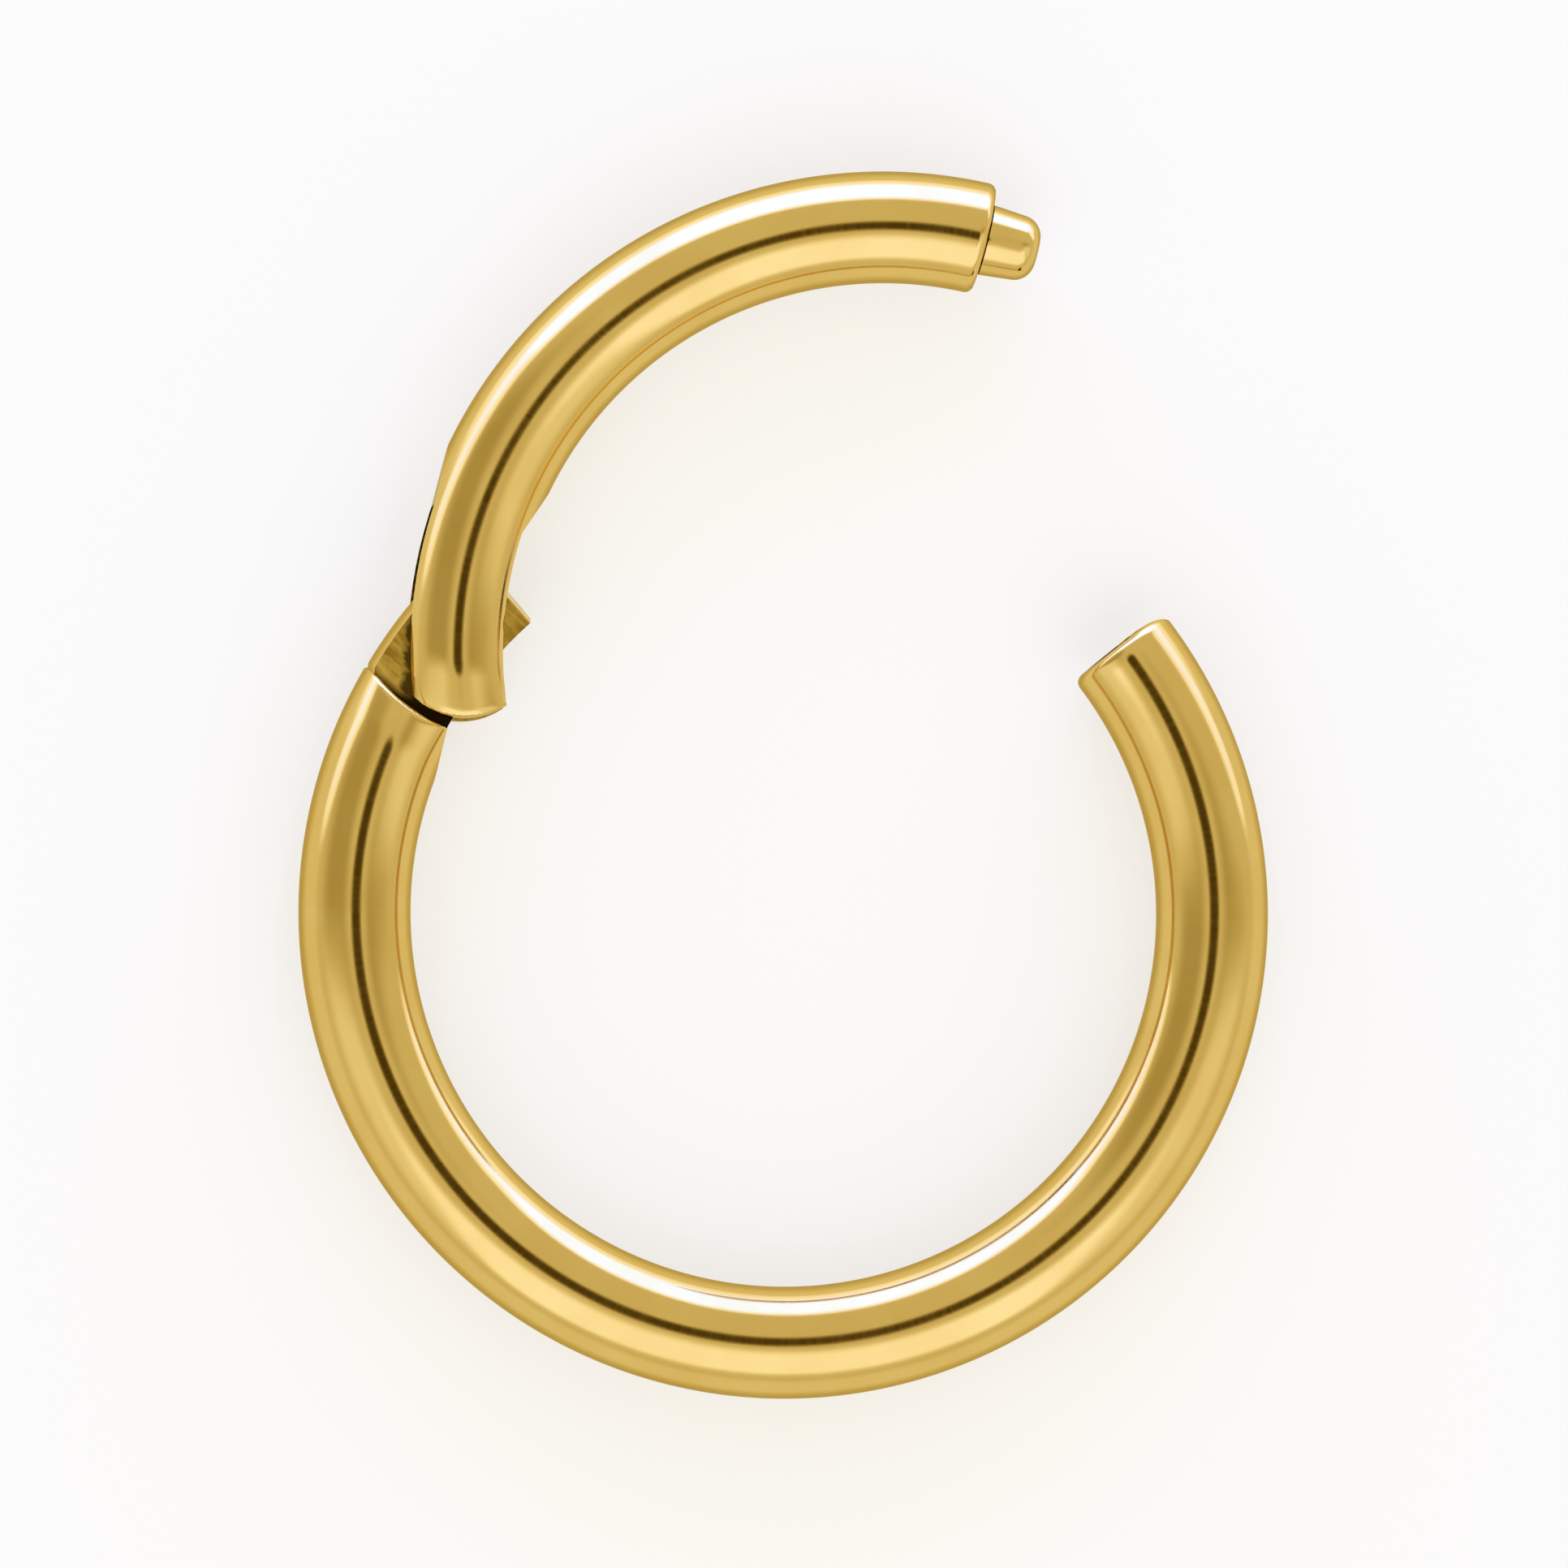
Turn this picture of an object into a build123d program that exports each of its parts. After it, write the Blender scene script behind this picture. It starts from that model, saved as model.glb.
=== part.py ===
from build123d import *
import os
from math import cos, degrees, hypot, radians, sin, sqrt, tan

# Hinged segment ring for a piercing, in millimetres. It lies flat: +Z is the ring's axis, and the origin
# is the centre of the main ring, halfway up the wire. Angles run anticlockwise from +X, seen from +Z.
# The segment is shown swung open about its pin. Closed, it completes the circle and its latch pin is held
# in a socket in the main ring's free end.

# The round wire
wire_diameter = 1.2  # 16 gauge
inside_diameter = 8.0
hinge_angle = 139.5  # where the hinge pin stands
free_end_angle = 38.5  # where the main ring stops
end_rounding = 0.1  # round the rim of the free end
shown_opening = 37.6  # how far the segment is turned from closed, in degrees
closed_gap = 0.025  # between the end faces when closed

# The tongue, milled on the main ring
tongue_thickness = 0.6
tongue_reach = 0.685  # past the pin, along the wire
tongue_inset = 0.03  # of the tongue's outer edge, below the wire's surface
tongue_rounding = 0.05  # round the tongue's end
shoulder_radius = 1.5
shoulder_gap = 0.045  # between the shoulder and the round end of the cheeks
shoulder_rounding = 0.045  # round the shoulder's rim

# The fork, milled in the segment
side_clearance = 0.02  # between the tongue and each cheek
cheek_margin = 0.2  # the round end's radius, more than the wire's own
cheek_drop = 0.115  # the round end's centre, past the pin
cheek_shift = 0.07  # the round end's centre, towards the inside of the ring
cheek_rounding = 0.04  # round the rim of each cheek's end
slot_clearance = 0.33  # between the swing of the tongue's corner and the slot's floor

# Both sides of the hinge are thinned, and regain the wire's full width over a short run.
inner_relief = 0.12  # off the wire's inner edge, at the tongue and the cheeks
ring_run = 0.65  # behind the shoulder
segment_run = 0.6  # past the slot's floor

# The hinge pin, pressed in from the back
pin_diameter = 0.4
pin_cap = 0.14  # metal left over the blind end of the pin
running_clearance = 0.015
fit_clearance = 0.005

# The latch pin, pressed into the segment's end
latch_wall = 0.215  # metal of the wire round the latch pin
latch_length = 0.585
latch_taper = 5.0  # degrees
latch_flat_share = 0.33  # flat on the tip, as a share of the tip's radius
shank_length = 0.5
groove_width = 0.025  # ring sunk round the latch pin's root
groove_depth = 0.04
tip_rounding = 0.09  # round the rim of the segment's end
socket_clearance = 0.02
socket_centre_share = 0.3  # of the latch pin's length in the socket

wire_radius = wire_diameter / 2
inside_radius = inside_diameter / 2
centre_radius = inside_radius + wire_radius
outside_radius = centre_radius + wire_radius
reach_over = 2 * wire_diameter  # cutters run this far past what they cut


def wire_angle(length):
    """The angle about the ring's centre that a length of wire covers."""
    return degrees(length / centre_radius)


def along_wire(hinge_frame, angle):
    """The hinge's frame slid along the wire, with x along the wire, y outwards and z up."""
    to_centre = Location((0, -centre_radius, 0))
    turned = Location((0, 0, 0), (0, 0, -angle))
    return hinge_frame.moved(to_centre * turned * Location((0, centre_radius, 0)))


def across(frame):
    """The plane across the wire at a frame: x outwards, and its normal along the wire."""
    return Plane(origin=frame.origin, x_dir=frame.y_dir, z_dir=frame.x_dir)


def ring_axis(hinge_frame):
    """The axis that the wire is bent round."""
    return Axis(hinge_frame.from_local_coords((0, -centre_radius, 0)), hinge_frame.z_dir)


def polar(radius, angle):
    """A point at a radius and an angle about the main ring's centre."""
    return radius * cos(radians(angle)), radius * sin(radians(angle))


# In the hinge's frame x points along the wire towards the segment's tip, y outwards and z up.
hinge = Plane(
    origin=polar(centre_radius, hinge_angle),
    x_dir=polar(1, hinge_angle - 90),
    z_dir=(0, 0, 1),
)
open_hinge = hinge.rotated((0, 0, shown_opening))
segment_frame = Plane(open_hinge.location * hinge.location.inverse())  # the ring's own frame, turned open

# Places along the wire, as angles from the hinge pin towards the tip
span = hinge_angle - free_end_angle
mouth = along_wire(hinge, span)
tip = along_wire(open_hinge, span - wire_angle(closed_gap))
tongue_angle = wire_angle(tongue_reach)
tongue_end = along_wire(hinge, tongue_angle)

slot_width = tongue_thickness + 2 * side_clearance
cheek_width = 2 * sqrt(wire_radius**2 - (slot_width / 2) ** 2)
cheek_radius = wire_radius + cheek_margin
cheek_reach = cheek_drop + cheek_radius
shoulder_reach = cheek_reach + shoulder_gap
slot_reach = hypot(tongue_reach, wire_radius) + slot_clearance
pin_radius = pin_diameter / 2
pin_top = wire_radius - pin_cap
latch_radius = wire_radius - latch_wall
latch_tip_radius = latch_radius - latch_length * tan(radians(latch_taper))
latch_flat = latch_flat_share * latch_tip_radius
latch_rounding = latch_tip_radius - latch_flat

# Angles about the ring's centre with the segment closed, for the cuts near the hinge
past_angle = hinge_angle - wire_angle(reach_over)  # past the tongue's end
segment_full_angle = hinge_angle - wire_angle(slot_reach + segment_run)  # the segment is full width again
floor_angle = hinge_angle - wire_angle(slot_reach)
shoulder_angle = hinge_angle + wire_angle(shoulder_reach)
ring_full_angle = hinge_angle + wire_angle(shoulder_reach + ring_run)  # the main ring is full width again
behind_angle = hinge_angle + wire_angle(reach_over)  # behind the cheeks' end
relief_radius = inside_radius + inner_relief
inner_limit = inside_radius - wire_diameter
outer_limit = outside_radius + wire_diameter

# The socket's hollow: the path of a ball that holds the latch pin's end, swung about the hinge pin
engaged = latch_length - closed_gap
ball_x = socket_centre_share * engaged
tip_reach = hypot(engaged - latch_rounding - ball_x, latch_flat) + latch_rounding
ball_radius = max(hypot(ball_x, latch_radius), tip_reach) + socket_clearance
ball_centre = mouth.from_local_coords((ball_x, 0, 0))
swing = Vector(*ball_centre) - Vector(*hinge.origin)
with BuildPart() as socket:
    with BuildSketch(Plane(origin=ball_centre, x_dir=swing, z_dir=hinge.z_dir.cross(swing))):
        Circle(ball_radius)
    revolve(axis=Axis(hinge.origin, hinge.z_dir), revolution_arc=degrees(reach_over / swing.length))
    with Locations(ball_centre):
        Sphere(ball_radius)

# The main ring: a bent wire with a tongue at the hinge and a socket in its free end
with BuildPart() as main_ring:
    with BuildSketch(across(hinge)):
        Circle(wire_radius)
    revolve(axis=ring_axis(hinge), revolution_arc=360 - span)
    free_end = main_ring.faces().filter_by(GeomType.PLANE).sort_by_distance(mouth.origin)[0]
    fillet(free_end.edges(), end_rounding)

    # The hollow shoulder that faces the cheeks' round ends
    with BuildSketch(hinge):
        with Locations((shoulder_radius - shoulder_reach, 0)):
            Circle(shoulder_radius)
    extrude(amount=wire_radius, both=True, mode=Mode.SUBTRACT)
    shoulder = main_ring.faces().filter_by(GeomType.CYLINDER)
    fillet(shoulder.edges(), shoulder_rounding)

    # The tongue goes on past the shoulder, milled flat on two sides.
    with BuildSketch(across(tongue_end)):
        Circle(wire_radius - tongue_inset)
        Rectangle(wire_diameter, tongue_thickness, mode=Mode.INTERSECT)
    revolve(axis=ring_axis(hinge), revolution_arc=tongue_angle + wire_angle(shoulder_reach + wire_radius))

    # The inner edge stands back along the tongue, and comes out again behind the shoulder.
    with BuildSketch(Plane.XY):
        with BuildLine():
            CenterArc((0, 0), relief_radius, past_angle, shoulder_angle - past_angle)
            Polyline(
                polar(relief_radius, shoulder_angle),
                polar(inside_radius, ring_full_angle),
                polar(inner_limit, ring_full_angle),
                polar(inner_limit, past_angle),
                polar(relief_radius, past_angle),
            )
        make_face()
    extrude(amount=wire_radius, both=True, mode=Mode.SUBTRACT)

    end_face = main_ring.faces().filter_by(GeomType.PLANE).sort_by_distance(tongue_end.origin)[0]
    fillet(end_face.edges(), tongue_rounding)

    with Locations(hinge.location):
        Cylinder(pin_radius + running_clearance, wire_diameter, mode=Mode.SUBTRACT)

    add(socket.part, mode=Mode.SUBTRACT)

# The segment: a bent wire with a fork at the hinge and a drilled end
with BuildPart() as hinged_segment:
    with BuildSketch(across(tip)):
        Circle(wire_radius)
    tail_angle = wire_angle(cheek_reach + wire_radius)
    revolve(axis=ring_axis(open_hinge), revolution_arc=span - wire_angle(closed_gap) + tail_angle)
    tip_face = hinged_segment.faces().filter_by(GeomType.PLANE).sort_by_distance(tip.origin)[0]
    fillet(tip_face.edges(), tip_rounding)

    with BuildSketch(open_hinge):
        Rectangle(reach_over, 2 * reach_over, align=(Align.MAX, Align.CENTER))
        with Locations((-cheek_drop, -cheek_shift)):
            Circle(cheek_radius, mode=Mode.SUBTRACT)
    extrude(amount=wire_radius, both=True, mode=Mode.SUBTRACT)
    cheek_end = hinged_segment.faces().filter_by(GeomType.CYLINDER)
    fillet(cheek_end.edges(), cheek_rounding)

    # The inner edge stands back along the fork, and comes out again past the slot's floor.
    with BuildSketch(segment_frame):
        with BuildLine():
            CenterArc((0, 0), relief_radius, floor_angle, behind_angle - floor_angle)
            Polyline(
                polar(relief_radius, behind_angle),
                polar(inner_limit, behind_angle),
                polar(inner_limit, segment_full_angle),
                polar(inside_radius, segment_full_angle),
                polar(relief_radius, floor_angle),
            )
        make_face()
    extrude(amount=wire_radius, both=True, mode=Mode.SUBTRACT)

    # The slot for the tongue runs out along the segment's outer edge.
    with BuildSketch(segment_frame):
        with BuildLine():
            Polyline(
                polar(inner_limit, floor_angle),
                polar(centre_radius + cheek_width / 2, floor_angle),
                polar(outside_radius, segment_full_angle),
                polar(outer_limit, segment_full_angle),
                polar(outer_limit, behind_angle),
                polar(inner_limit, behind_angle),
                close=True,
            )
        make_face()
    extrude(amount=slot_width / 2, both=True, mode=Mode.SUBTRACT)

    # The hinge pin's hole, from the back and blind under the front cheek's skin
    with BuildSketch(open_hinge.offset(pin_top)):
        Circle(pin_radius + fit_clearance)
    extrude(amount=-wire_diameter, mode=Mode.SUBTRACT)

    # A blind hole for the latch pin's shank, with a groove round its mouth
    with BuildSketch(across(tip)):
        Circle(latch_radius + fit_clearance)
    extrude(amount=-shank_length - fit_clearance, mode=Mode.SUBTRACT)
    with BuildSketch(across(tip)):
        Circle(latch_radius + groove_width)
    extrude(amount=-groove_depth, mode=Mode.SUBTRACT)

# The latch pin: a straight shank in the segment's end and a tapered, rounded nose outside it
with BuildPart() as latch_pin:
    with BuildSketch(tip):
        with BuildLine():
            Polyline(
                (-shank_length, 0),
                (-shank_length, latch_radius),
                (0, latch_radius),
                (latch_length, latch_tip_radius),
                (latch_length, 0),
                close=True,
            )
        make_face()
    revolve(axis=Axis(tip.origin, tip.x_dir))
    nose_rim = latch_pin.edges().filter_by(GeomType.CIRCLE).sort_by_distance(
        tip.from_local_coords((latch_length, latch_tip_radius, 0))
    )[0]
    fillet(nose_rim, latch_rounding)

# The hinge pin: blind in the front cheek, through the tongue, and ground flush with the back cheek
with BuildPart() as pivot_pin:
    with BuildSketch(across(along_wire(open_hinge, wire_angle(wire_radius)))):
        Circle(wire_radius)
    revolve(axis=ring_axis(open_hinge), revolution_arc=2 * wire_angle(wire_radius))
    with Locations(open_hinge.offset(pin_top - fit_clearance).location):
        Cylinder(
            pin_radius,
            wire_diameter,
            align=(Align.CENTER, Align.CENTER, Align.MAX),
            mode=Mode.INTERSECT,
        )

os.makedirs("parts", exist_ok=True)

main_ring.part.label = "main_ring"
export_step(main_ring.part, "parts/main_ring.step")

hinged_segment.part.label = "hinged_segment"
export_step(hinged_segment.part, "parts/hinged_segment.step")

latch_pin.part.label = "latch_pin"
export_step(latch_pin.part, "parts/latch_pin.step")

pivot_pin.part.label = "pivot_pin"
export_step(pivot_pin.part, "parts/pivot_pin.step")
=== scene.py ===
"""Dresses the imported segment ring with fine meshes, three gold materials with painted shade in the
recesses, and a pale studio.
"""

import math

import bmesh
import bpy
from mathutils import Matrix, Vector


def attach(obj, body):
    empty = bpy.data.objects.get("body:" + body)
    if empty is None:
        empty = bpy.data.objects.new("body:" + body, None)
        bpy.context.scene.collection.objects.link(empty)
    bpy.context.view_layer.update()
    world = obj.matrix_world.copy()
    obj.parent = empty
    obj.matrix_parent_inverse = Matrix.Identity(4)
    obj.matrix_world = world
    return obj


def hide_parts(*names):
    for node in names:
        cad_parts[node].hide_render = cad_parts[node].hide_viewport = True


MM = 0.001

# The part's own sizes, as in its CAD source, in millimetres and degrees
WIRE = 0.6
BEND = 4.6
INSIDE = 4.0
HINGE = 139.5
FREE_END = 38.5
END_ROUNDING = 0.1
OPENING = 37.6
CLOSED_GAP = 0.025
TONGUE_HALF = 0.3
TONGUE_REACH = 0.685
TONGUE_TUBE = 0.57
SHOULDER_RADIUS = 1.5
SHOULDER_REACH = 0.96
RELIEF = 4.12
RING_RUN = 0.65
SEGMENT_RUN = 0.6
SLOT_HALF = 0.32
SLOT_CLEARANCE = 0.33
CHEEK_RADIUS = 0.8
CHEEK_DROP = 0.115
CHEEK_SHIFT = 0.07
LATCH_RADIUS = 0.385
LATCH_LENGTH = 0.585
LATCH_TAPER = 5.0
LATCH_FLAT_SHARE = 0.33
SHANK = 0.5

# Small forms that only the fine meshes have, in mm
TONGUE_EDGE = 0.592  # the tongue's outer edge, polished nearly flush with the wire
LATCH_NECK = 0.02  # the depth of the groove round the latch pin's root
NECK_START, NECK_END = -0.004, 0.021

# A rounded face this near to the wire's mid-line is inside a hole, in mm
TIP_HOLE_REACH = LATCH_RADIUS + 0.03
SOCKET_REACH = 0.44
HOLE_DEPTH = 1.0  # no hole is deeper

# How fine the new meshes are
STEP_ALONG = 0.75  # degrees along the wire
AROUND = 112  # faces round the wire
LATCH_AROUND = 96
LATCH_ROUND_STEPS = 20
FINE_EDGE = 0.05  # the longest edge near the ends, in mm
FINE_ROUNDING = FINE_EDGE * 0.6  # the same on a rounded edge
REFINE_ROUNDS = 4
SHARP = math.radians(38)
WELD = 2e-4  # points nearer than this are one point, in mm
ON_SURFACE = 4e-4  # a corner this near to a surface is on it, in mm
ON_RIM = 4e-3  # the same for a rim
SAME_WAY = 0.96  # the least cosine between the normals of a face and of its surface
NEAR_WAY = 0.78  # the same for a face of a rounded edge and a surface that it joins
NEAR_CUT = 25  # degrees along the wire to each side of a cut
ON_CUT = 0.05  # a corner this near to a cut is on it, in degrees
LEVEL_FACE = 0.9  # the least cosine between a level face's normal and the vertical
MESH_ERROR = 0.01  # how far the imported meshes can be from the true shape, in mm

# The finishes, in the order of each piece's material slots; the third is painted shade for the recesses
POLISHED, MILLED, SHADED_RECESS = 0, 1, 2

# The studio, its lengths in metres, and the photograph's frame
WALL_LEVEL = 0.60
LIGHT_STRENGTH = 1.25
LENS_HOLE = (12.5, 5.0)  # degrees from the ring's axis, at its rim and where it is darkest
FLOOR_Z = -WIRE * MM
FLOOR_GAP = 0.000002
FLOOR_RADIUS = 0.46
BACKDROP_RADIUS = 0.45
VIEW = Vector((-0.07, -0.045, 1.0)).normalized()
IMAGE_SIZE = 1932
PIXELS_PER_MM = 115.12
CENTRE_RIGHT = 0.25  # pixels from the ring's centre to the photograph's
CENTRE_UP = 158.8
LENS = 500.0  # in the camera's own mm, as is the sensor
SENSOR = 36.0


def polar(radius, angle):
    a = math.radians(angle)
    return Vector((radius * math.cos(a), radius * math.sin(a), 0.0))


def arc_angle(length):
    return math.degrees(length / BEND)


PIVOT = polar(BEND, HINGE)
OPEN = (
    Matrix.Translation(PIVOT)
    @ Matrix.Rotation(math.radians(OPENING), 4, "Z")
    @ Matrix.Translation(-PIVOT)
)


# Surfaces that a face can lie on: each gives how far a point is outside it, and the normal there


def torus(tube, place=Matrix.Identity(4)):
    back, turn = place.inverted(), place.to_3x3()

    def at(p):
        q = back @ p
        out = q - Vector((q.x, q.y, 0.0)).normalized() * BEND
        return out.length - tube, turn @ out.normalized()

    at.kind = "tube"
    return at


def plane(point, normal, place=Matrix.Identity(4)):
    point, normal = place @ point, (place.to_3x3() @ normal).normalized()

    def at(p):
        return (p - point).dot(normal), normal

    at.kind = "plane"
    return at


def upright(centre, radius, sign, place=Matrix.Identity(4)):
    """A round wall whose axis is upright: sign 1 faces outwards, -1 faces the axis."""
    centre = place @ centre

    def at(p):
        out = Vector((p.x - centre.x, p.y - centre.y, 0.0))
        return (out.length - radius) * sign, out.normalized() * sign

    at.kind = "upright"
    return at


def rim(angle, outwards, place=Matrix.Identity(4)):
    """The rounded rim of a square end of the wire."""
    centre = place @ polar(BEND, angle)
    axis = place.to_3x3() @ (tangent(angle) * outwards)

    def at(p):
        d = p - centre
        deep = d.dot(axis)
        across = d - axis * deep
        out = d - axis * -END_ROUNDING - across.normalized() * (WIRE - END_ROUNDING)
        return out.length - END_ROUNDING, out.normalized()

    at.kind = "rim"
    return at


def between(a, b, inwards, place=Matrix.Identity(4)):
    """The upright plane through two points, facing the side that inwards is on."""
    run = b - a
    normal = Vector((run.y, -run.x, 0.0)).normalized()
    if normal.dot(inwards - a) < 0:
        normal = -normal
    return plane(a, normal, place)


def tangent(angle):
    """The direction along the wire, towards the segment's tip."""
    return polar(1, angle - 90)


SLOT_REACH = math.hypot(TONGUE_REACH, WIRE) + SLOT_CLEARANCE
TONGUE_END = HINGE - arc_angle(TONGUE_REACH)
FLOOR_ANGLE = HINGE - arc_angle(SLOT_REACH)
SEGMENT_FULL = HINGE - arc_angle(SLOT_REACH + SEGMENT_RUN)
SHOULDER_ANGLE = HINGE + arc_angle(SHOULDER_REACH)
RING_FULL = HINGE + arc_angle(SHOULDER_REACH + RING_RUN)
TIP = FREE_END + arc_angle(CLOSED_GAP)
UP = Vector((0, 0, 1))
CHEEK_HALF = math.sqrt(WIRE**2 - SLOT_HALF**2)
SHOULDER_CENTRE = PIVOT + tangent(HINGE) * (SHOULDER_RADIUS - SHOULDER_REACH)
CHEEK_CENTRE = PIVOT - tangent(HINGE) * CHEEK_DROP - polar(CHEEK_SHIFT, HINGE)
SHOULDER_WALL = upright(SHOULDER_CENTRE, SHOULDER_RADIUS, -1)
SLOT_FLOOR = plane(polar(BEND, FLOOR_ANGLE), -tangent(FLOOR_ANGLE), OPEN)

# A later surface wins over an earlier one.
RING_SURFACES = [
    torus(WIRE),
    torus(TONGUE_TUBE),
    plane(Vector((0, 0, TONGUE_HALF)), UP),
    plane(Vector((0, 0, -TONGUE_HALF)), -UP),
    SHOULDER_WALL,
    upright(Vector((0, 0, 0)), RELIEF, -1),
    between(polar(RELIEF, SHOULDER_ANGLE), polar(INSIDE, RING_FULL), Vector((0, 0, 0))),
    plane(polar(BEND, TONGUE_END), tangent(TONGUE_END)),
    plane(polar(BEND, FREE_END), -tangent(FREE_END)),
    rim(FREE_END, -1),
]
SEGMENT_SURFACES = [
    torus(WIRE, OPEN),
    plane(Vector((0, 0, SLOT_HALF)), -UP),
    plane(Vector((0, 0, -SLOT_HALF)), UP),
    upright(CHEEK_CENTRE, CHEEK_RADIUS, 1, OPEN),
    upright(Vector((0, 0, 0)), RELIEF, -1, OPEN),
    between(polar(RELIEF, FLOOR_ANGLE), polar(INSIDE, SEGMENT_FULL), Vector((0, 0, 0)), OPEN),
    between(
        polar(BEND + CHEEK_HALF, FLOOR_ANGLE),
        polar(BEND + WIRE, SEGMENT_FULL),
        polar(2 * BEND, HINGE),
        OPEN,
    ),
    SLOT_FLOOR,
    plane(polar(BEND, TIP), tangent(TIP), OPEN),
    rim(TIP, 1, OPEN),
]
PIN_SURFACES = [torus(WIRE, OPEN)]

# Where the wire is plain, from one angle to the other
RING_PLAIN = (RING_FULL + 2, FREE_END - 6)
SEGMENT_PLAIN = (TIP + 2.5, SEGMENT_FULL - 2)


def set_kinds(bm, surfaces):
    """Marks each face with the surface that it lies on, counted from 1, or 0 for a rounded edge."""
    kind = bm.faces.layers.int.new("kind")
    for f in bm.faces:
        middle = f.calc_center_median()
        for i, at in enumerate(surfaces):
            slack = ON_RIM if at.kind == "rim" else ON_SURFACE
            if at.kind == "rim" and f[kind]:
                continue
            if all(abs(at(v.co)[0]) < slack for v in f.verts) and at(middle)[1].dot(f.normal) > SAME_WAY:
                f[kind] = i + 1
    return kind


def wire_angle_of(p, place):
    q = place.inverted() @ p
    return math.degrees(math.atan2(q.y, q.x)) % 360


def apart(a, b):
    """The angle from b to a, from -180 to 180."""
    return (a - b + 180) % 360 - 180


def cut_plain(bm, kind, place, start, end):
    """Takes out the wire's plain stretch between two angles and puts a regular grid of quads there."""
    back = place.inverted()
    for angle in (start, end):
        near = [
            f for f in bm.faces
            if f[kind] == 1
            and any(abs(apart(wire_angle_of(v.co, place), angle)) < NEAR_CUT for v in f.verts)
        ]
        corners = dict.fromkeys(v for f in near for v in f.verts)
        edges = dict.fromkeys(e for f in near for e in f.edges)
        normal = place.to_3x3() @ polar(1, angle + 90)
        bmesh.ops.bisect_plane(
            bm, geom=[*corners, *edges, *near], dist=1e-6,
            plane_co=place @ polar(BEND, angle), plane_no=normal,
        )
    span = (end - start) % 360
    gone = [
        f for f in bm.faces
        if f[kind] == 1
        and 0 < (wire_angle_of(f.calc_center_median(), place) - start) % 360 < span
    ]
    bmesh.ops.delete(bm, geom=gone, context="FACES")
    open_edges = [e for e in bm.edges if len(e.link_faces) == 1]
    loops = {}
    for angle in (start, end):
        verts = dict.fromkeys(
            v for e in open_edges for v in e.verts
            if abs(apart(wire_angle_of(v.co, place), angle)) < ON_CUT
        )
        for v in verts:
            q = back @ v.co
            foot = polar(BEND, angle)
            out = (q - foot) - tangent(angle) * (q - foot).dot(tangent(angle))
            v.co = place @ (foot + out.normalized() * WIRE)
        loops[angle] = sorted(verts, key=lambda v: girth(back @ v.co))
    count = max(2, round(span / STEP_ALONG))
    rings = []
    for i in range(1, count):
        a = start + span * i / count
        rings.append([
            bm.verts.new(place @ (polar(BEND + WIRE * math.cos(t), a) + UP * (WIRE * math.sin(t))))
            for t in (2 * math.pi * (k + 0.5) / AROUND - math.pi for k in range(AROUND))
        ])
    new = []
    for low, high in zip(rings, rings[1:]):
        for k in range(AROUND):
            m = (k + 1) % AROUND
            new.append(bm.faces.new((low[k], high[k], high[m], low[m])))
    new += zip_up(bm, loops[start], rings[0], back, False)
    new += zip_up(bm, loops[end], rings[-1], back, True)
    for f in new:
        f[kind] = 1
    bm.normal_update()
    return [v for ring in rings for v in ring]


def girth(q):
    """The angle round the wire of a point in the ring's own frame: 0 at the outer edge, up is positive."""
    return math.atan2(q.z, math.hypot(q.x, q.y) - BEND)


def zip_up(bm, first, second, back, flip):
    """Fills the strip between two loops round the wire with triangles, both sorted by girth."""
    made, i, j = [], 0, 0
    n, m = len(first), len(second)
    ga = [girth(back @ v.co) for v in first]
    gb = [girth(back @ v.co) for v in second]
    while i < n or j < m:
        a_after = ga[(i + 1) % n] + (2 * math.pi if i + 1 >= n else 0)
        b_after = gb[(j + 1) % m] + (2 * math.pi if j + 1 >= m else 0)
        if j >= m or (i < n and a_after <= b_after):
            tri = (first[i % n], second[j % m], first[(i + 1) % n])
            i += 1
        else:
            tri = (first[i % n], second[j % m], second[(j + 1) % m])
            j += 1
        made.append(bm.faces.new(tri if not flip else tri[::-1]))
    return made


def corner_normals(bm, kind, surfaces, facing=None):
    """The exact normal at each corner.

    It comes from the surface that the face lies on, or on a rounded edge from what the edge joins."""
    made = []
    for f in bm.faces:
        for loop in f.loops:
            if f[kind]:
                made.append(surfaces[f[kind] - 1](loop.vert.co)[1])
                continue
            best, total = None, Vector((0, 0, 0))
            for g in loop.vert.link_faces:
                if g.normal.angle(f.normal, 0) > SHARP:
                    continue
                if g[kind]:
                    n = surfaces[g[kind] - 1](loop.vert.co)[1]
                    if n.dot(f.normal) > (best.dot(f.normal) if best else NEAR_WAY):
                        best = n
                total += g.normal * g.calc_area()
            if best is None and facing is not None:
                best = loop[facing].normalized()
            made.append(best or total.normalized())
    return made


def facing_at(face, vert, facing):
    return next(loop[facing] for loop in face.loops if loop.vert == vert).normalized()


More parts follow.
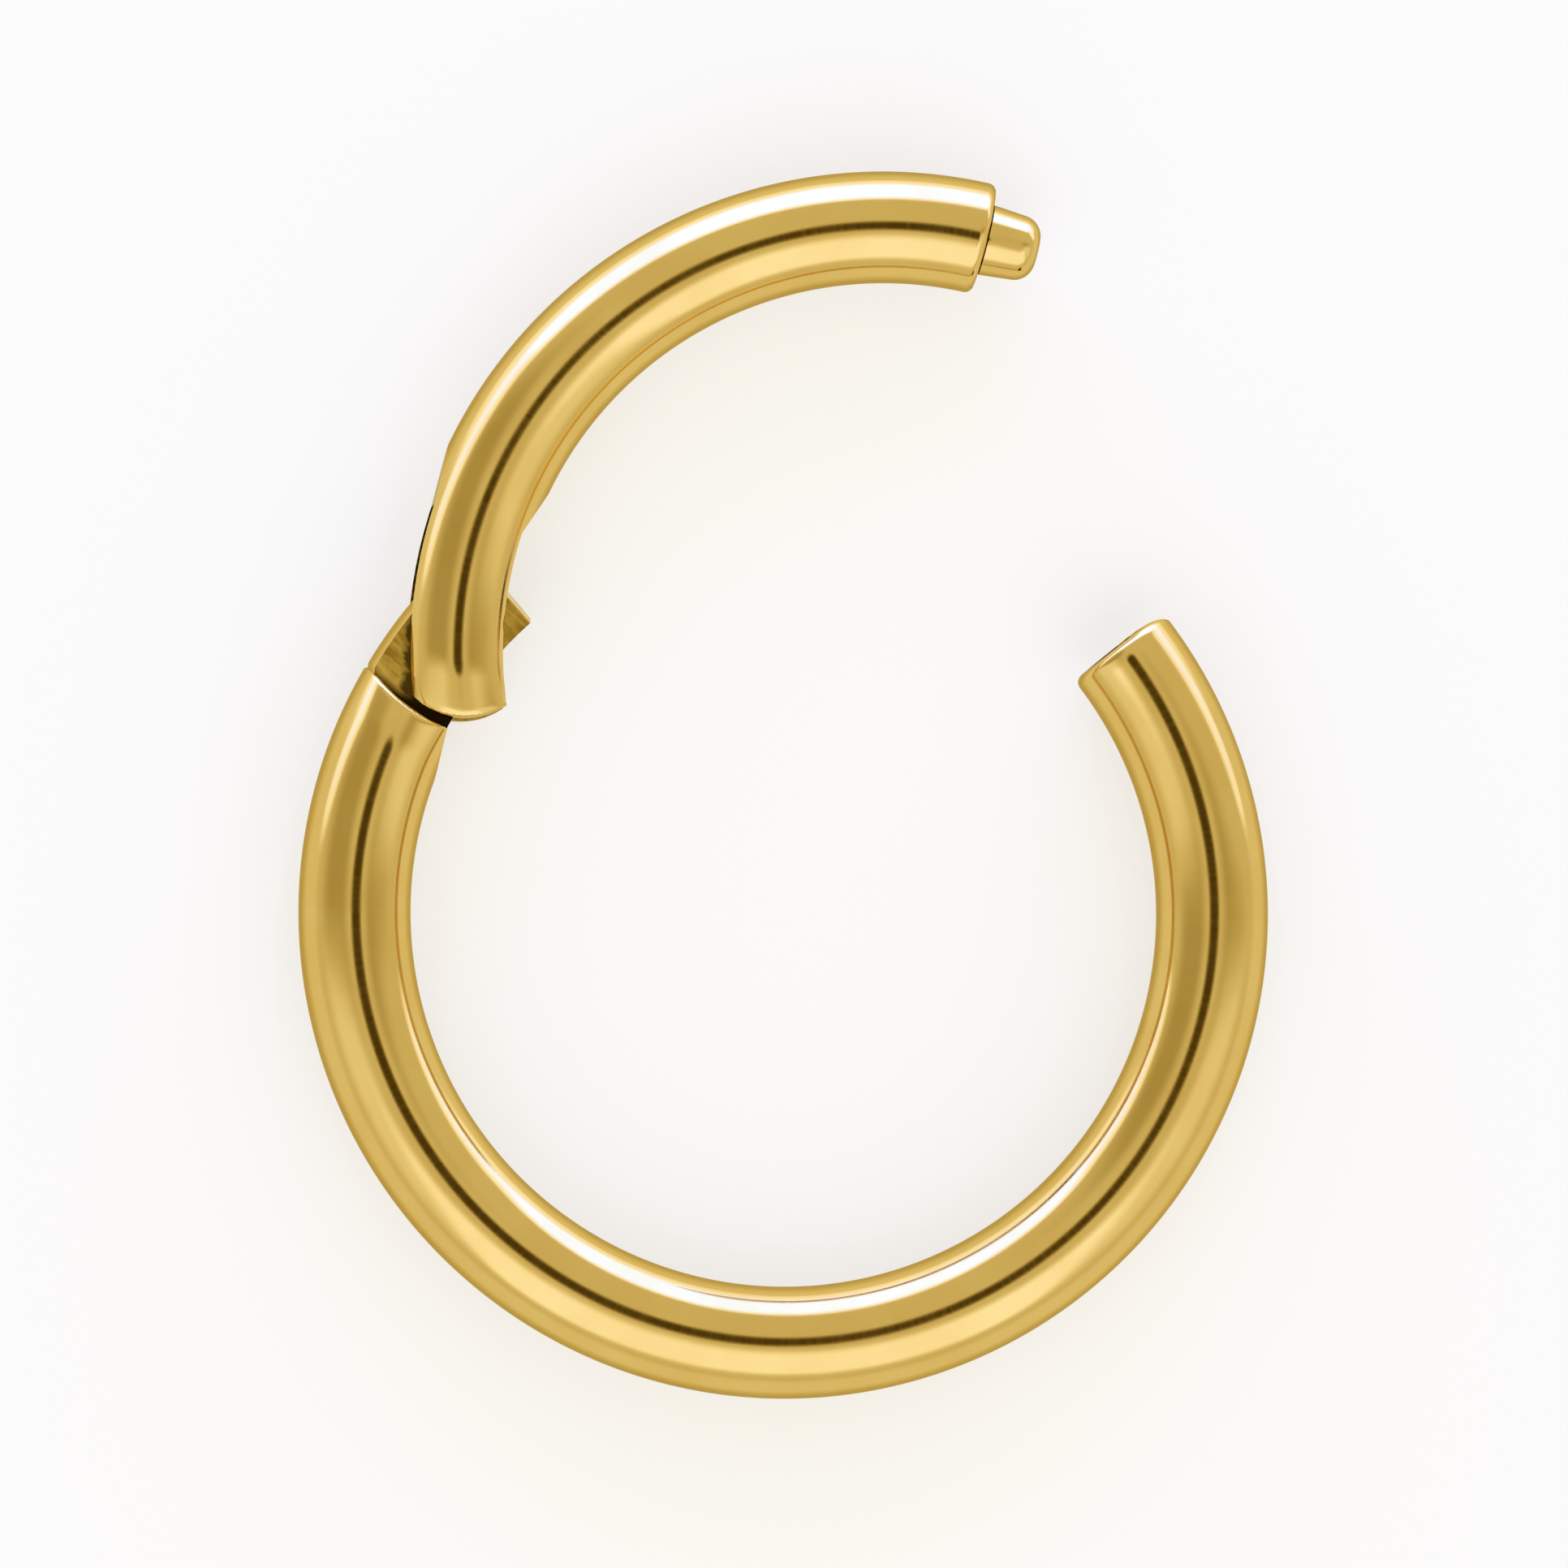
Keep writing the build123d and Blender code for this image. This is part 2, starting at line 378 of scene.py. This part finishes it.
def middle_of(e, kind, surfaces, facing, most):
    """Where the middle of an edge belongs on the true shape, or None where it can stay as it is.

    On a rounded edge it moves by most at the most."""
    f, g = e.link_faces
    on = [surfaces[k - 1] for k in sorted({f[kind], g[kind]}) if k]
    p0, p1 = e.verts[0].co, e.verts[1].co
    middle = (p0 + p1) / 2
    if f[kind] and g[kind]:
        if all(at.kind == "plane" for at in on):
            return None
    else:
        if e.calc_face_angle(0) > SHARP:
            return None
        rounded = f if not f[kind] else g
        n0, n1 = facing_at(rounded, e.verts[0], facing), facing_at(rounded, e.verts[1], facing)
        bulge = (n0 * (p1 - p0).dot(n0) + n1 * (p0 - p1).dot(n1)) / -8
        middle += bulge * min(1.0, most / max(bulge.length, 1e-9))
    # Where two surfaces meet, a few rounds bring the point onto both.
    for _ in range(6 if len(on) > 1 else 1):
        for at in on:
            distance, normal = at(middle)
            middle = middle - normal * distance
    return middle


def refine(bm, kind, surfaces, keep, facing, place):
    """Splits the long edges near the wire's ends, and puts each new point where the true shape is.

    The hole in the segment's tip stays as it is, because the latch pin fills it."""
    filled = {
        f for f in bm.faces
        if place is OPEN and not f[kind] and finish_of(None, f, place) == SHADED_RECESS
    }
    deep = {v for v in bm.verts if all(f in filled for f in v.link_faces)}
    for turn in range(REFINE_ROUNDS):
        moves = {}
        for e in bm.edges:
            if len(e.link_faces) != 2 or deep.intersection(e.verts) or keep.issuperset(e.verts):
                continue
            limit = FINE_EDGE if all(f[kind] for f in e.link_faces) else FINE_ROUNDING
            if e.calc_length() > limit:
                moves[e] = middle_of(e, kind, surfaces, facing, MESH_ERROR / 2**turn)
        moves = {e: m for e, m in moves.items() if m is not None}
        if not moves:
            break
        new = []
        for e, m in moves.items():
            v = bmesh.utils.edge_split(e, e.verts[0], 0.5)[1]
            new.append(v)
            v.co = m
        bmesh.ops.triangulate(bm, faces=list(dict.fromkeys(f for v in new for f in v.link_faces)))
        bm.normal_update()


def bend_mesh(bm, normals, move):
    """Moves every point by a smooth function, and turns the normals to suit."""
    small = 1e-4
    frames = {}
    for v in bm.verts:
        here = move(v.co)
        step = Matrix([(move(v.co + axis * small) - here) / small for axis in Matrix.Identity(3)])
        frames[v] = (here, step.inverted_safe())
    turned, i = [], 0
    for f in bm.faces:
        for loop in f.loops:
            turned.append((frames[loop.vert][1] @ normals[i]).normalized())
            i += 1
    for v, (here, _) in frames.items():
        v.co = here
    return turned


def eased(value, low, high):
    """0 below low, 1 above high, and smooth in between."""
    t = min(1.0, max(0.0, (value - low) / (high - low)))
    return t * t * (3 - 2 * t)


def worn_down(p, depth, start, slope, lip, lip_slope, hollow):
    """The height of a point on a polished end.

    The face slopes down evenly from start on, and faster on its last bit, the lip.
    Points no higher than the hollow inside the wire stay where they are."""
    depth = max(depth, 0.0)
    turn, run, last = start * 0.35, start - depth, lip - depth
    drop = 0.0
    # The slope sets in over the stretch named turn.
    if run > 0:
        drop += slope * run * run / (2 * turn) if run < turn else slope * (run - turn / 2)
    if last > 0:
        drop += lip_slope * last * last / (2 * lip)
    return p.z * (1.0 - drop / WIRE * eased(abs(p.z), hollow, WIRE))


def soft_segment(p):
    """The cheeks' faces are polished down towards their round ends."""
    q = OPEN.inverted() @ p - PIVOT
    along, out = q.dot(tangent(HINGE)), q.dot(polar(1, HINGE))
    # Past the hinge the wire keeps its full height.
    if along > 0.3:
        return p.copy()
    end = -CHEEK_DROP - math.sqrt(max(CHEEK_RADIUS**2 - (out + CHEEK_SHIFT) ** 2, 0.01))
    z = worn_down(p, along - end, start=0.62, slope=0.13, lip=0.09, lip_slope=0.35, hollow=SLOT_HALF)
    return Vector((p.x, p.y, z))


def soft_ring(p):
    """The wire is polished down to the shoulder and the free end.

    The tongue's outer edge comes out to the wire's line."""
    if p.x > 0 and p.y > 0:
        depth = (p - polar(BEND, FREE_END)).dot(tangent(FREE_END))
        z = worn_down(p, depth, start=0.2, slope=0.12, lip=0.1, lip_slope=0.0, hollow=0.42)
        return Vector((p.x, p.y, z))
    q = p - PIVOT
    along, out = q.dot(tangent(HINGE)), q.dot(polar(1, HINGE))
    # Past the shoulder the wire keeps its full height.
    if along < -2.2 or p.x > 0 or p.y < 0:
        return p.copy()
    wall = math.hypot(along - SHOULDER_RADIUS + SHOULDER_REACH, out) - SHOULDER_RADIUS
    r = math.hypot(p.x, p.y)
    share = eased(r - BEND, 0.15, 0.45) * eased(-wall, 0.0, 0.03)
    stretch = 1.0
    if share:
        wider = math.sqrt((TONGUE_EDGE**2 - p.z**2) / max(TONGUE_TUBE**2 - p.z**2, 0.01))
        stretch = (BEND + (r - BEND) * (1 + share * (wider - 1))) / r
    z = worn_down(p, wall, start=0.5, slope=0.09, lip=0.08, lip_slope=0.6, hollow=TONGUE_HALF)
    return Vector((p.x * stretch, p.y * stretch, z))


def object_for(data, name):
    """Puts a mesh or a camera into the scene."""
    new = bpy.data.objects.new(name, data)
    bpy.context.scene.collection.objects.link(new)
    return new


def object_from(bm, name):
    """Puts a finished mesh into the scene."""
    mesh = bpy.data.meshes.new(name)
    bm.to_mesh(mesh)
    bm.free()
    return object_for(mesh, name)


def fine_copy(node, surfaces, place, plain=None, soften=None):
    """A finer piece in a CAD node's exact shape."""
    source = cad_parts[node]
    bm = bmesh.new()
    bm.from_mesh(source.data)
    bmesh.ops.scale(bm, vec=(1 / MM,) * 3, verts=bm.verts)
    bmesh.ops.remove_doubles(bm, verts=bm.verts, dist=WELD)
    bmesh.ops.dissolve_degenerate(bm, edges=bm.edges, dist=WELD)
    bm.normal_update()
    kind = set_kinds(bm, surfaces)
    keep = set(cut_plain(bm, kind, place, *plain)) if plain else set()
    facing = bm.loops.layers.float_vector.new("facing")
    loops = (loop for f in bm.faces for loop in f.loops)
    for loop, n in zip(loops, corner_normals(bm, kind, surfaces)):
        loop[facing] = n
    refine(bm, kind, surfaces, keep, facing, place)
    bmesh.ops.dissolve_degenerate(bm, edges=bm.edges, dist=WELD)
    bm.normal_update()
    normals = corner_normals(bm, kind, surfaces, facing)
    if soften:
        normals = bend_mesh(bm, normals, soften)
    grain = bm.verts.layers.float_vector.new("grain")
    for v in bm.verts:
        q = place.inverted() @ v.co
        around = girth(q)
        v[grain] = (
            math.radians(apart(math.degrees(math.atan2(q.y, q.x)), 0)) * BEND,
            WIRE * math.cos(around),
            WIRE * math.sin(around),
        )
    for f in bm.faces:
        f.smooth = True
        f.material_index = finish_of(surfaces[f[kind] - 1] if f[kind] else None, f, place)
    bmesh.ops.scale(bm, vec=(MM,) * 3, verts=bm.verts)
    piece = object_from(bm, node + "_fine")
    piece.data.normals_split_custom_set([n[:] for n in normals])
    return piece


def finish_of(surface, face, place):
    """Which finish a face has: painted shade goes on the slot, the groove and the inside of the holes."""
    if surface is None or surface.kind == "rim":
        middle = place.inverted() @ face.calc_center_median()
        for angle, reach in ((TIP, TIP_HOLE_REACH), (FREE_END, SOCKET_REACH)):
            d = middle - polar(BEND, angle)
            near = math.hypot(d.dot(polar(1, angle)), d.z) < reach
            if near and abs(d.dot(tangent(angle))) < HOLE_DEPTH:
                return SHADED_RECESS
        return POLISHED
    up = (place.inverted().to_3x3() @ face.normal).z
    if surface.kind == "plane" and abs(up) > LEVEL_FACE:
        return SHADED_RECESS if place is OPEN else MILLED
    return SHADED_RECESS if surface in (SHOULDER_WALL, SLOT_FLOOR) else POLISHED


def latch_profile():
    """The latch pin's outline from root to tip, as distances along its axis and radii."""
    taper = math.radians(LATCH_TAPER)
    nose_end = LATCH_RADIUS - LATCH_LENGTH * math.tan(taper)
    # The rounding's arc touches the flat end and the tapered side.
    rounding = nose_end * (1 - LATCH_FLAT_SHARE)
    centre_x = LATCH_LENGTH - rounding
    centre_r = nose_end + rounding * math.tan(taper) - rounding / math.cos(taper)
    start_x = centre_x + rounding * math.sin(taper)
    start_r = centre_r + rounding * math.cos(taper)

    profile = [(-SHANK, 0.0), (-SHANK, LATCH_RADIUS)]
    profile += [(-SHANK * i / 6, LATCH_RADIUS) for i in range(5, 0, -1)]
    # The neck is a shallow groove where the pin leaves the tip, darkened with painted shade.
    profile += [
        (NECK_START, LATCH_RADIUS),
        (0.0, LATCH_RADIUS - LATCH_NECK),
        (0.014, LATCH_RADIUS - LATCH_NECK - 0.002),
        (0.024, LATCH_RADIUS - 0.003),
    ]
    profile += [
        (start_x * i / 10, LATCH_RADIUS + (start_r - LATCH_RADIUS) * i / 10) for i in range(1, 10)
    ]
    for i in range(LATCH_ROUND_STEPS + 1):
        a = (math.pi / 2 - taper) * (1 - i / LATCH_ROUND_STEPS)
        profile.append((centre_x + rounding * math.cos(a), centre_r + rounding * math.sin(a)))
    return profile + [(LATCH_LENGTH, centre_r * 0.5), (LATCH_LENGTH, 0.0)]


def latch_piece():
    """The latch pin turned about its own axis: shank, neck, tapered nose, rounded rim and flat tip."""
    origin = OPEN @ polar(BEND, TIP)
    along = OPEN.to_3x3() @ tangent(TIP)
    out = OPEN.to_3x3() @ polar(1, TIP)
    turns = [2 * math.pi * k / LATCH_AROUND for k in range(LATCH_AROUND)]
    bm = bmesh.new()
    rows = []
    for x, radius in latch_profile():
        spokes = [(out * math.cos(t) + UP * math.sin(t)) * radius for t in (turns if radius else [0.0])]
        rows.append([bm.verts.new(origin + along * x + spoke) for spoke in spokes])
    for low, high in zip(rows, rows[1:]):
        for k in range(LATCH_AROUND):
            m = (k + 1) % LATCH_AROUND
            if len(low) == 1:
                bm.faces.new((low[0], high[k], high[m]))
            elif len(high) == 1:
                bm.faces.new((low[k], high[0], low[m]))
            else:
                bm.faces.new((low[k], high[k], high[m], low[m]))
    bmesh.ops.recalc_face_normals(bm, faces=bm.faces)
    for f in bm.faces:
        f.smooth = True
        x = (f.calc_center_median() - origin).dot(along)
        # The neck's faces get painted shade.
        f.material_index = SHADED_RECESS if NECK_START < x < NECK_END else POLISHED
    for e in bm.edges:
        if e.calc_face_angle(0) > SHARP:
            e.smooth = False
    grain = bm.verts.layers.float_vector.new("grain")
    for v in bm.verts:
        d = v.co - origin
        v[grain] = (d.dot(along), d.dot(out), d.dot(UP))
    bmesh.ops.scale(bm, vec=(MM,) * 3, verts=bm.verts)
    return object_from(bm, "latch_pin_fine")


# Materials

EDGE_TINT = (1.0, 0.88, 0.6, 1.0)
POLISHED_COLOURS = ((0.80, 0.588, 0.216, 1.0), (0.776, 0.552, 0.188, 1.0))
MILLED_COLOURS = ((0.42, 0.26, 0.03, 1.0), (0.74, 0.49, 0.10, 1.0))
# Painted shade for the slot, the groove and the holes
RECESS_SHADE_COLOURS = ((0.035, 0.018, 0.004, 1.0), (0.22, 0.13, 0.03, 1.0))
# Plain gold where the slot's painted shade leaves off
UNSHADED_SLOT_GOLD = (0.74, 0.52, 0.14, 1.0)
# Painted shade beside the open cheek
PAINTED_CHEEK_SHADE = (0.10, 0.058, 0.008, 1.0)
# Painted shade in the corner under the shoulder
PAINTED_CORNER_SHADE = (0.018, 0.010, 0.002, 1.0)
TOOL_ANGLE = math.radians(42)


class Nodes:
    """A node tree with short ways to add and join nodes."""

    def __init__(self, tree):
        self.tree = tree
        tree.nodes.clear()

    def add(self, kind, inputs=None, **settings):
        node = self.tree.nodes.new(kind)
        for key, value in settings.items():
            setattr(node, key, value)
        for key, value in (inputs or {}).items():
            socket = node.inputs[key]
            if isinstance(value, bpy.types.NodeSocket):
                self.tree.links.new(value, socket)
            else:
                socket.default_value = value
        return node

    def math(self, operation, a, b=0.0, c=0.0):
        return self.add("ShaderNodeMath", {0: a, 1: b, 2: c}, operation=operation).outputs[0]

    def vector(self, operation, a, b=(0.0, 0.0, 0.0)):
        node = self.add("ShaderNodeVectorMath", {0: a, 1: b}, operation=operation)
        return node.outputs["Value" if operation in ("LENGTH", "DOT_PRODUCT") else "Vector"]

    def product(self, first, *others):
        for factor in others:
            first = self.math("MULTIPLY", first, factor)
        return first

    def smooth(self, value, low, high, to_low=0.0, to_high=1.0):
        return self.add(
            "ShaderNodeMapRange",
            {"Value": value, "From Min": low, "From Max": high, "To Min": to_low, "To Max": to_high},
            interpolation_type="SMOOTHSTEP",
        ).outputs[0]

    def fade(self, value, low, high):
        return self.smooth(value, low, high, 1.0, 0.0)

    def blend(self, factor, a, b):
        return self.add("ShaderNodeMix", {0: factor, 6: a, 7: b}, data_type="RGBA").outputs[2]

    def noise(self, place, scale, detail, roughness=0.5):
        return self.add(
            "ShaderNodeTexNoise",
            {"Vector": place, "Scale": scale, "Detail": detail, "Roughness": roughness},
        ).outputs[0]

    def from_axis(self, place, centre):
        """How far a place is from the upright axis through centre, and the vector from centre to it."""
        away = self.vector("SUBTRACT", place, centre)
        return self.vector("LENGTH", self.vector("MULTIPLY", away, (1.0, 1.0, 0.0))), away

    def metal(self, colour, rough, relief, strength, depth):
        """The shader of all three finishes, joined to the output. Depth is in metres."""
        bump = self.add("ShaderNodeBump", {"Height": relief, "Strength": strength, "Distance": depth})
        shader = self.add(
            "ShaderNodeBsdfPrincipled",
            {
                "Base Color": colour,
                "Metallic": 1.0,
                "Roughness": rough,
                "Normal": bump.outputs[0],
                "Specular Tint": EDGE_TINT,
            },
        )
        self.add("ShaderNodeOutputMaterial", {"Surface": shader.outputs[0]})


def new_material(name):
    material = bpy.data.materials.new(name)
    material.use_nodes = True
    return material, Nodes(material.node_tree)


def polished_gold():
    """Mirror-polished plating: cloudy colour, fine polishing marks across the wire, a little unevenness."""
    material, n = new_material("polished_gold")
    grain = n.add("ShaderNodeAttribute", attribute_name="grain").outputs["Vector"]
    marks = n.noise(n.vector("MULTIPLY", grain, (22.0, 1.2, 1.2)), 1.0, 5.0, 0.6)
    clouds = n.noise(grain, 1.3, 3.0)
    colour = n.blend(n.smooth(clouds, 0.3, 0.7), *POLISHED_COLOURS)
    uneven = n.math("MULTIPLY_ADD", marks, 0.6, n.math("MULTIPLY", clouds, 0.4))
    n.metal(colour, n.smooth(uneven, 0.3, 0.7, 0.075, 0.135), marks, 0.03, 0.000004)
    return material


def milled_gold():
    """Plating over a milled face: duller and darker in blotches, with slanting tool marks, and with painted
    shade beside the open cheek and in the corner under the shoulder.
    """
    material, n = new_material("milled_gold")
    place = n.add("ShaderNodeTexCoord").outputs["Object"]
    turned = n.add(
        "ShaderNodeVectorRotate", {"Vector": place, "Angle": TOOL_ANGLE}, rotation_type="Z_AXIS"
    ).outputs[0]
    marks = n.noise(n.vector("MULTIPLY", turned, (2500.0, 13000.0, 5000.0)), 1.0, 3.0)
    blots = n.noise(place, 4500.0, 3.0)
    mixed = n.math("MULTIPLY_ADD", marks, 0.5, n.math("MULTIPLY", blots, 0.5))
    colour = n.blend(n.smooth(mixed, 0.34, 0.66), *MILLED_COLOURS)

    # Painted shade beside the open cheeks' outer edge, in blotches; it stays on the tongue when the segment
    # moves
    open_reach, _ = n.from_axis(place, OPEN @ Vector((0, 0, 0)) * MM)
    ragged = n.math("MULTIPLY_ADD", mixed, -0.5 * MM, open_reach)
    cheek_shade = n.product(
        n.smooth(ragged, 4.96 * MM, 4.88 * MM), n.smooth(open_reach, 4.8 * MM, 5.0 * MM)
    )
    colour = n.blend(cheek_shade, colour, PAINTED_CHEEK_SHADE)

    # Painted shade in the corner under the shoulder, darker towards the inner edge
    reach, away = n.from_axis(place, SHOULDER_CENTRE * MM)
    out = n.vector("DOT_PRODUCT", away, polar(1, HINGE))
    corner_shade = n.smooth(n.math("MULTIPLY_ADD", out, -0.2, reach), 1.34 * MM, 1.48 * MM)
    colour = n.blend(corner_shade, colour, PAINTED_CORNER_SHADE)
    n.metal(colour, n.smooth(marks, 0.3, 0.7, 0.32, 0.46), mixed, 0.4, 0.00001)
    return material


def shaded_recess_gold():
    """The inside of the slot, the groove and the holes: painted shade, dark in blotches."""
    material, n = new_material("shaded_recess_gold")
    place = n.add("ShaderNodeTexCoord").outputs["Object"]
    blots = n.noise(place, 9000.0, 4.0, 0.65)
    colour = n.blend(n.smooth(blots, 0.4, 0.68), *RECESS_SHADE_COLOURS)

    # The painted shade leaves off at the cheeks' round ends, which stay plain gold.
    reach, away = n.from_axis(place, OPEN @ CHEEK_CENTRE * MM)
    behind = n.vector("DOT_PRODUCT", away, OPEN.to_3x3() @ -tangent(HINGE))
    shade_lifted = n.product(
        n.smooth(reach, 0.68 * MM, 0.74 * MM), n.smooth(behind, 0.2 * MM, 0.4 * MM)
    )
    colour = n.blend(shade_lifted, colour, UNSHADED_SLOT_GOLD)
    n.metal(colour, n.smooth(blots, 0.3, 0.7, 0.28, 0.45), blots, 0.4, 0.00001)
    return material


# The studio


def studio_light():
    """A tent: dim warm walls, a window on the +Y side, a panel over the -Y side and a dark lens hole."""
    world = bpy.data.worlds.new("studio")
    bpy.context.scene.world = world
    world.use_nodes = True
    n = Nodes(world.node_tree)
    direction = n.add("ShaderNodeTexCoord").outputs["Generated"]
    x, y, z = n.add("ShaderNodeSeparateXYZ", {0: direction}).outputs[:3]
    aside, back = n.math("ABSOLUTE", x), n.math("MULTIPLY", y, -1.0)

    # The window is a rectangle in the plane y = 1, with a glow round it and wings low down at its sides.
    far = n.math("MAXIMUM", y, 0.001)
    u, v = n.math("DIVIDE", aside, far), n.math("DIVIDE", z, far)
    window = n.product(
        n.fade(u, 0.62, 1.1), n.fade(v, 0.38, 0.72), n.smooth(v, -0.2, 0.04), n.smooth(y, 0.0, 0.2)
    )
    glow = n.product(
        n.fade(u, 0.8, 2.2), n.fade(z, 0.10, 0.42), n.smooth(z, -0.42, -0.1), n.smooth(y, 0.1, 0.5)
    )
    narrowing = n.math("MULTIPLY", z, n.math("MULTIPLY_ADD", u, 0.4, 1.0))
    wings = n.product(
        n.fade(u, 1.5, 6.5),
        n.fade(narrowing, 0.10, 0.62),
        n.smooth(z, -0.14, 0.02),
        n.smooth(y, 0.08, 0.35),
    )

    # The panel is a fan in the plane z = 1.
    up = n.math("MAXIMUM", z, 0.02)
    p, q = n.math("DIVIDE", aside, up), n.math("DIVIDE", back, up)
    edge = n.math("SUBTRACT", n.math("MULTIPLY_ADD", q, 0.57, 0.40), p)
    panel = n.product(
        n.smooth(q, 0.2, 0.5), n.fade(q, 1.6, 3.6), n.smooth(edge, -0.35, 0.25), n.smooth(z, 0.02, 0.1)
    )

    # The walls are lighter low down and round the panel, and darker beside the window.
    lit = n.product(n.smooth(back, -0.05, 0.22), n.smooth(z, 0.1, 0.5), n.fade(z, 0.8, 0.95))
    dark = n.product(
        n.smooth(aside, 0.2, 0.5),
        n.smooth(y, -0.15, 0.08),
        n.fade(n.math("MULTIPLY_ADD", x, 0.35, y), 0.2, 0.5),
        n.smooth(z, 0.15, 0.6),
    )
    low = n.smooth(z, 0.15, -0.1)
    below = n.smooth(z, -0.45, -0.95)
    level = WALL_LEVEL
    for area, brighter in (
        (lit, 0.17), (dark, -0.2), (low, 0.1), (below, -0.25), (panel, 0.3), (glow, 0.8), (wings, 1.3)
    ):
        level = n.math("MULTIPLY_ADD", area, brighter, level)
    outer, inner = (math.cos(math.radians(a)) for a in LENS_HOLE)
    level = n.math("MULTIPLY", level, n.smooth(z, outer, inner, 1.0, 0.10))
    level = n.math("MULTIPLY_ADD", window, 3.4, level)

    # Dim light comes from the tent's walls and is warmer, and the window's own light is daylight.
    dim = n.math("MINIMUM", level, 1.0)
    day = n.smooth(level, 0.6, 3.6)
    green = n.math("MULTIPLY_ADD", day, 0.40, n.math("POWER", dim, 1.17))
    blue = n.math("MULTIPLY_ADD", day, 2.9, n.math("POWER", dim, 1.95))
    colour = n.add("ShaderNodeCombineXYZ", {0: dim, 1: green, 2: blue}).outputs[0]
    light = n.add("ShaderNodeBackground", {"Color": colour, "Strength": LIGHT_STRENGTH})
    n.add("ShaderNodeOutputWorld", {"Surface": light.outputs[0]})


def studio_floor():
    """A pale table, and behind it a plain pale wall that only the camera sees."""
    bm = bmesh.new()
    bmesh.ops.create_circle(bm, cap_ends=True, radius=FLOOR_RADIUS, segments=128)
    floor = object_from(bm, "floor")
    floor.location = (0, 0, FLOOR_Z - FLOOR_GAP)
    material, n = new_material("pale_floor")
    shader = n.add(
        "ShaderNodeBsdfPrincipled",
        {
            "Base Color": (0.455, 0.45, 0.425, 1.0),
            "Roughness": 0.9,
            "Specular IOR Level": 0.1,
            "Emission Color": (1.0, 1.0, 1.0, 1.0),
            "Emission Strength": 0.58,
        },
    )
    n.add("ShaderNodeOutputMaterial", {"Surface": shader.outputs[0]})
    floor.data.materials.append(material)
    floor.visible_glossy = False

    bm = bmesh.new()
    bmesh.ops.create_uvsphere(bm, u_segments=64, v_segments=32, radius=BACKDROP_RADIUS)
    wall = object_from(bm, "backdrop")
    material, n = new_material("pale_backdrop")
    glow = n.add("ShaderNodeEmission", {"Color": (0.9, 0.9, 0.9, 1.0), "Strength": 1.0})
    n.add("ShaderNodeOutputMaterial", {"Surface": glow.outputs[0]})
    wall.data.materials.append(material)
    for ray in ("diffuse", "glossy", "transmission", "volume_scatter", "shadow"):
        setattr(wall, "visible_" + ray, False)


def photo_camera():
    """Looks along the photograph's direction, with the ring's centre a little low."""
    data = bpy.data.cameras.new("camera")
    camera = object_for(data, "camera")
    data.sensor_width = SENSOR
    data.lens = LENS
    data.clip_start, data.clip_end = 0.005, 5.0
    pixel = MM / PIXELS_PER_MM
    distance = IMAGE_SIZE * pixel * LENS / SENSOR
    right = (Vector((1, 0, 0)) - VIEW * VIEW.x).normalized()
    up = VIEW.cross(right)
    target = (right * CENTRE_RIGHT + up * CENTRE_UP) * pixel
    turn = Matrix((right, up, VIEW)).transposed().to_4x4()
    camera.matrix_world = Matrix.Translation(target + VIEW * distance) @ turn
    bpy.context.scene.camera = camera


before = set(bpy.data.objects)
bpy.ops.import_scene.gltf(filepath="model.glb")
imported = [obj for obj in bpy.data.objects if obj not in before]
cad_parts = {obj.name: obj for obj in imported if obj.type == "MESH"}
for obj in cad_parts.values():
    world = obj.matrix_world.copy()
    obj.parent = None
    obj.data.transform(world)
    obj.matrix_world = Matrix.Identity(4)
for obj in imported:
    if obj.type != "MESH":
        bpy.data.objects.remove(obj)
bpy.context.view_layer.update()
bpy.context.scene.view_settings.view_transform = "Standard"

finishes = [polished_gold(), milled_gold(), shaded_recess_gold()]
made = {
    "main_ring": fine_copy("main_ring", RING_SURFACES, Matrix.Identity(4), RING_PLAIN, soft_ring),
    "hinged_segment": fine_copy("hinged_segment", SEGMENT_SURFACES, OPEN, SEGMENT_PLAIN, soft_segment),
    "pivot_pin": fine_copy("pivot_pin", PIN_SURFACES, OPEN),
    "latch_pin": latch_piece(),
}
for node, piece in made.items():
    for material in finishes:
        piece.data.materials.append(material)
    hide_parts(node)
    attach(piece, "ring" if node == "main_ring" else "segment")

studio_light()
studio_floor()
photo_camera()
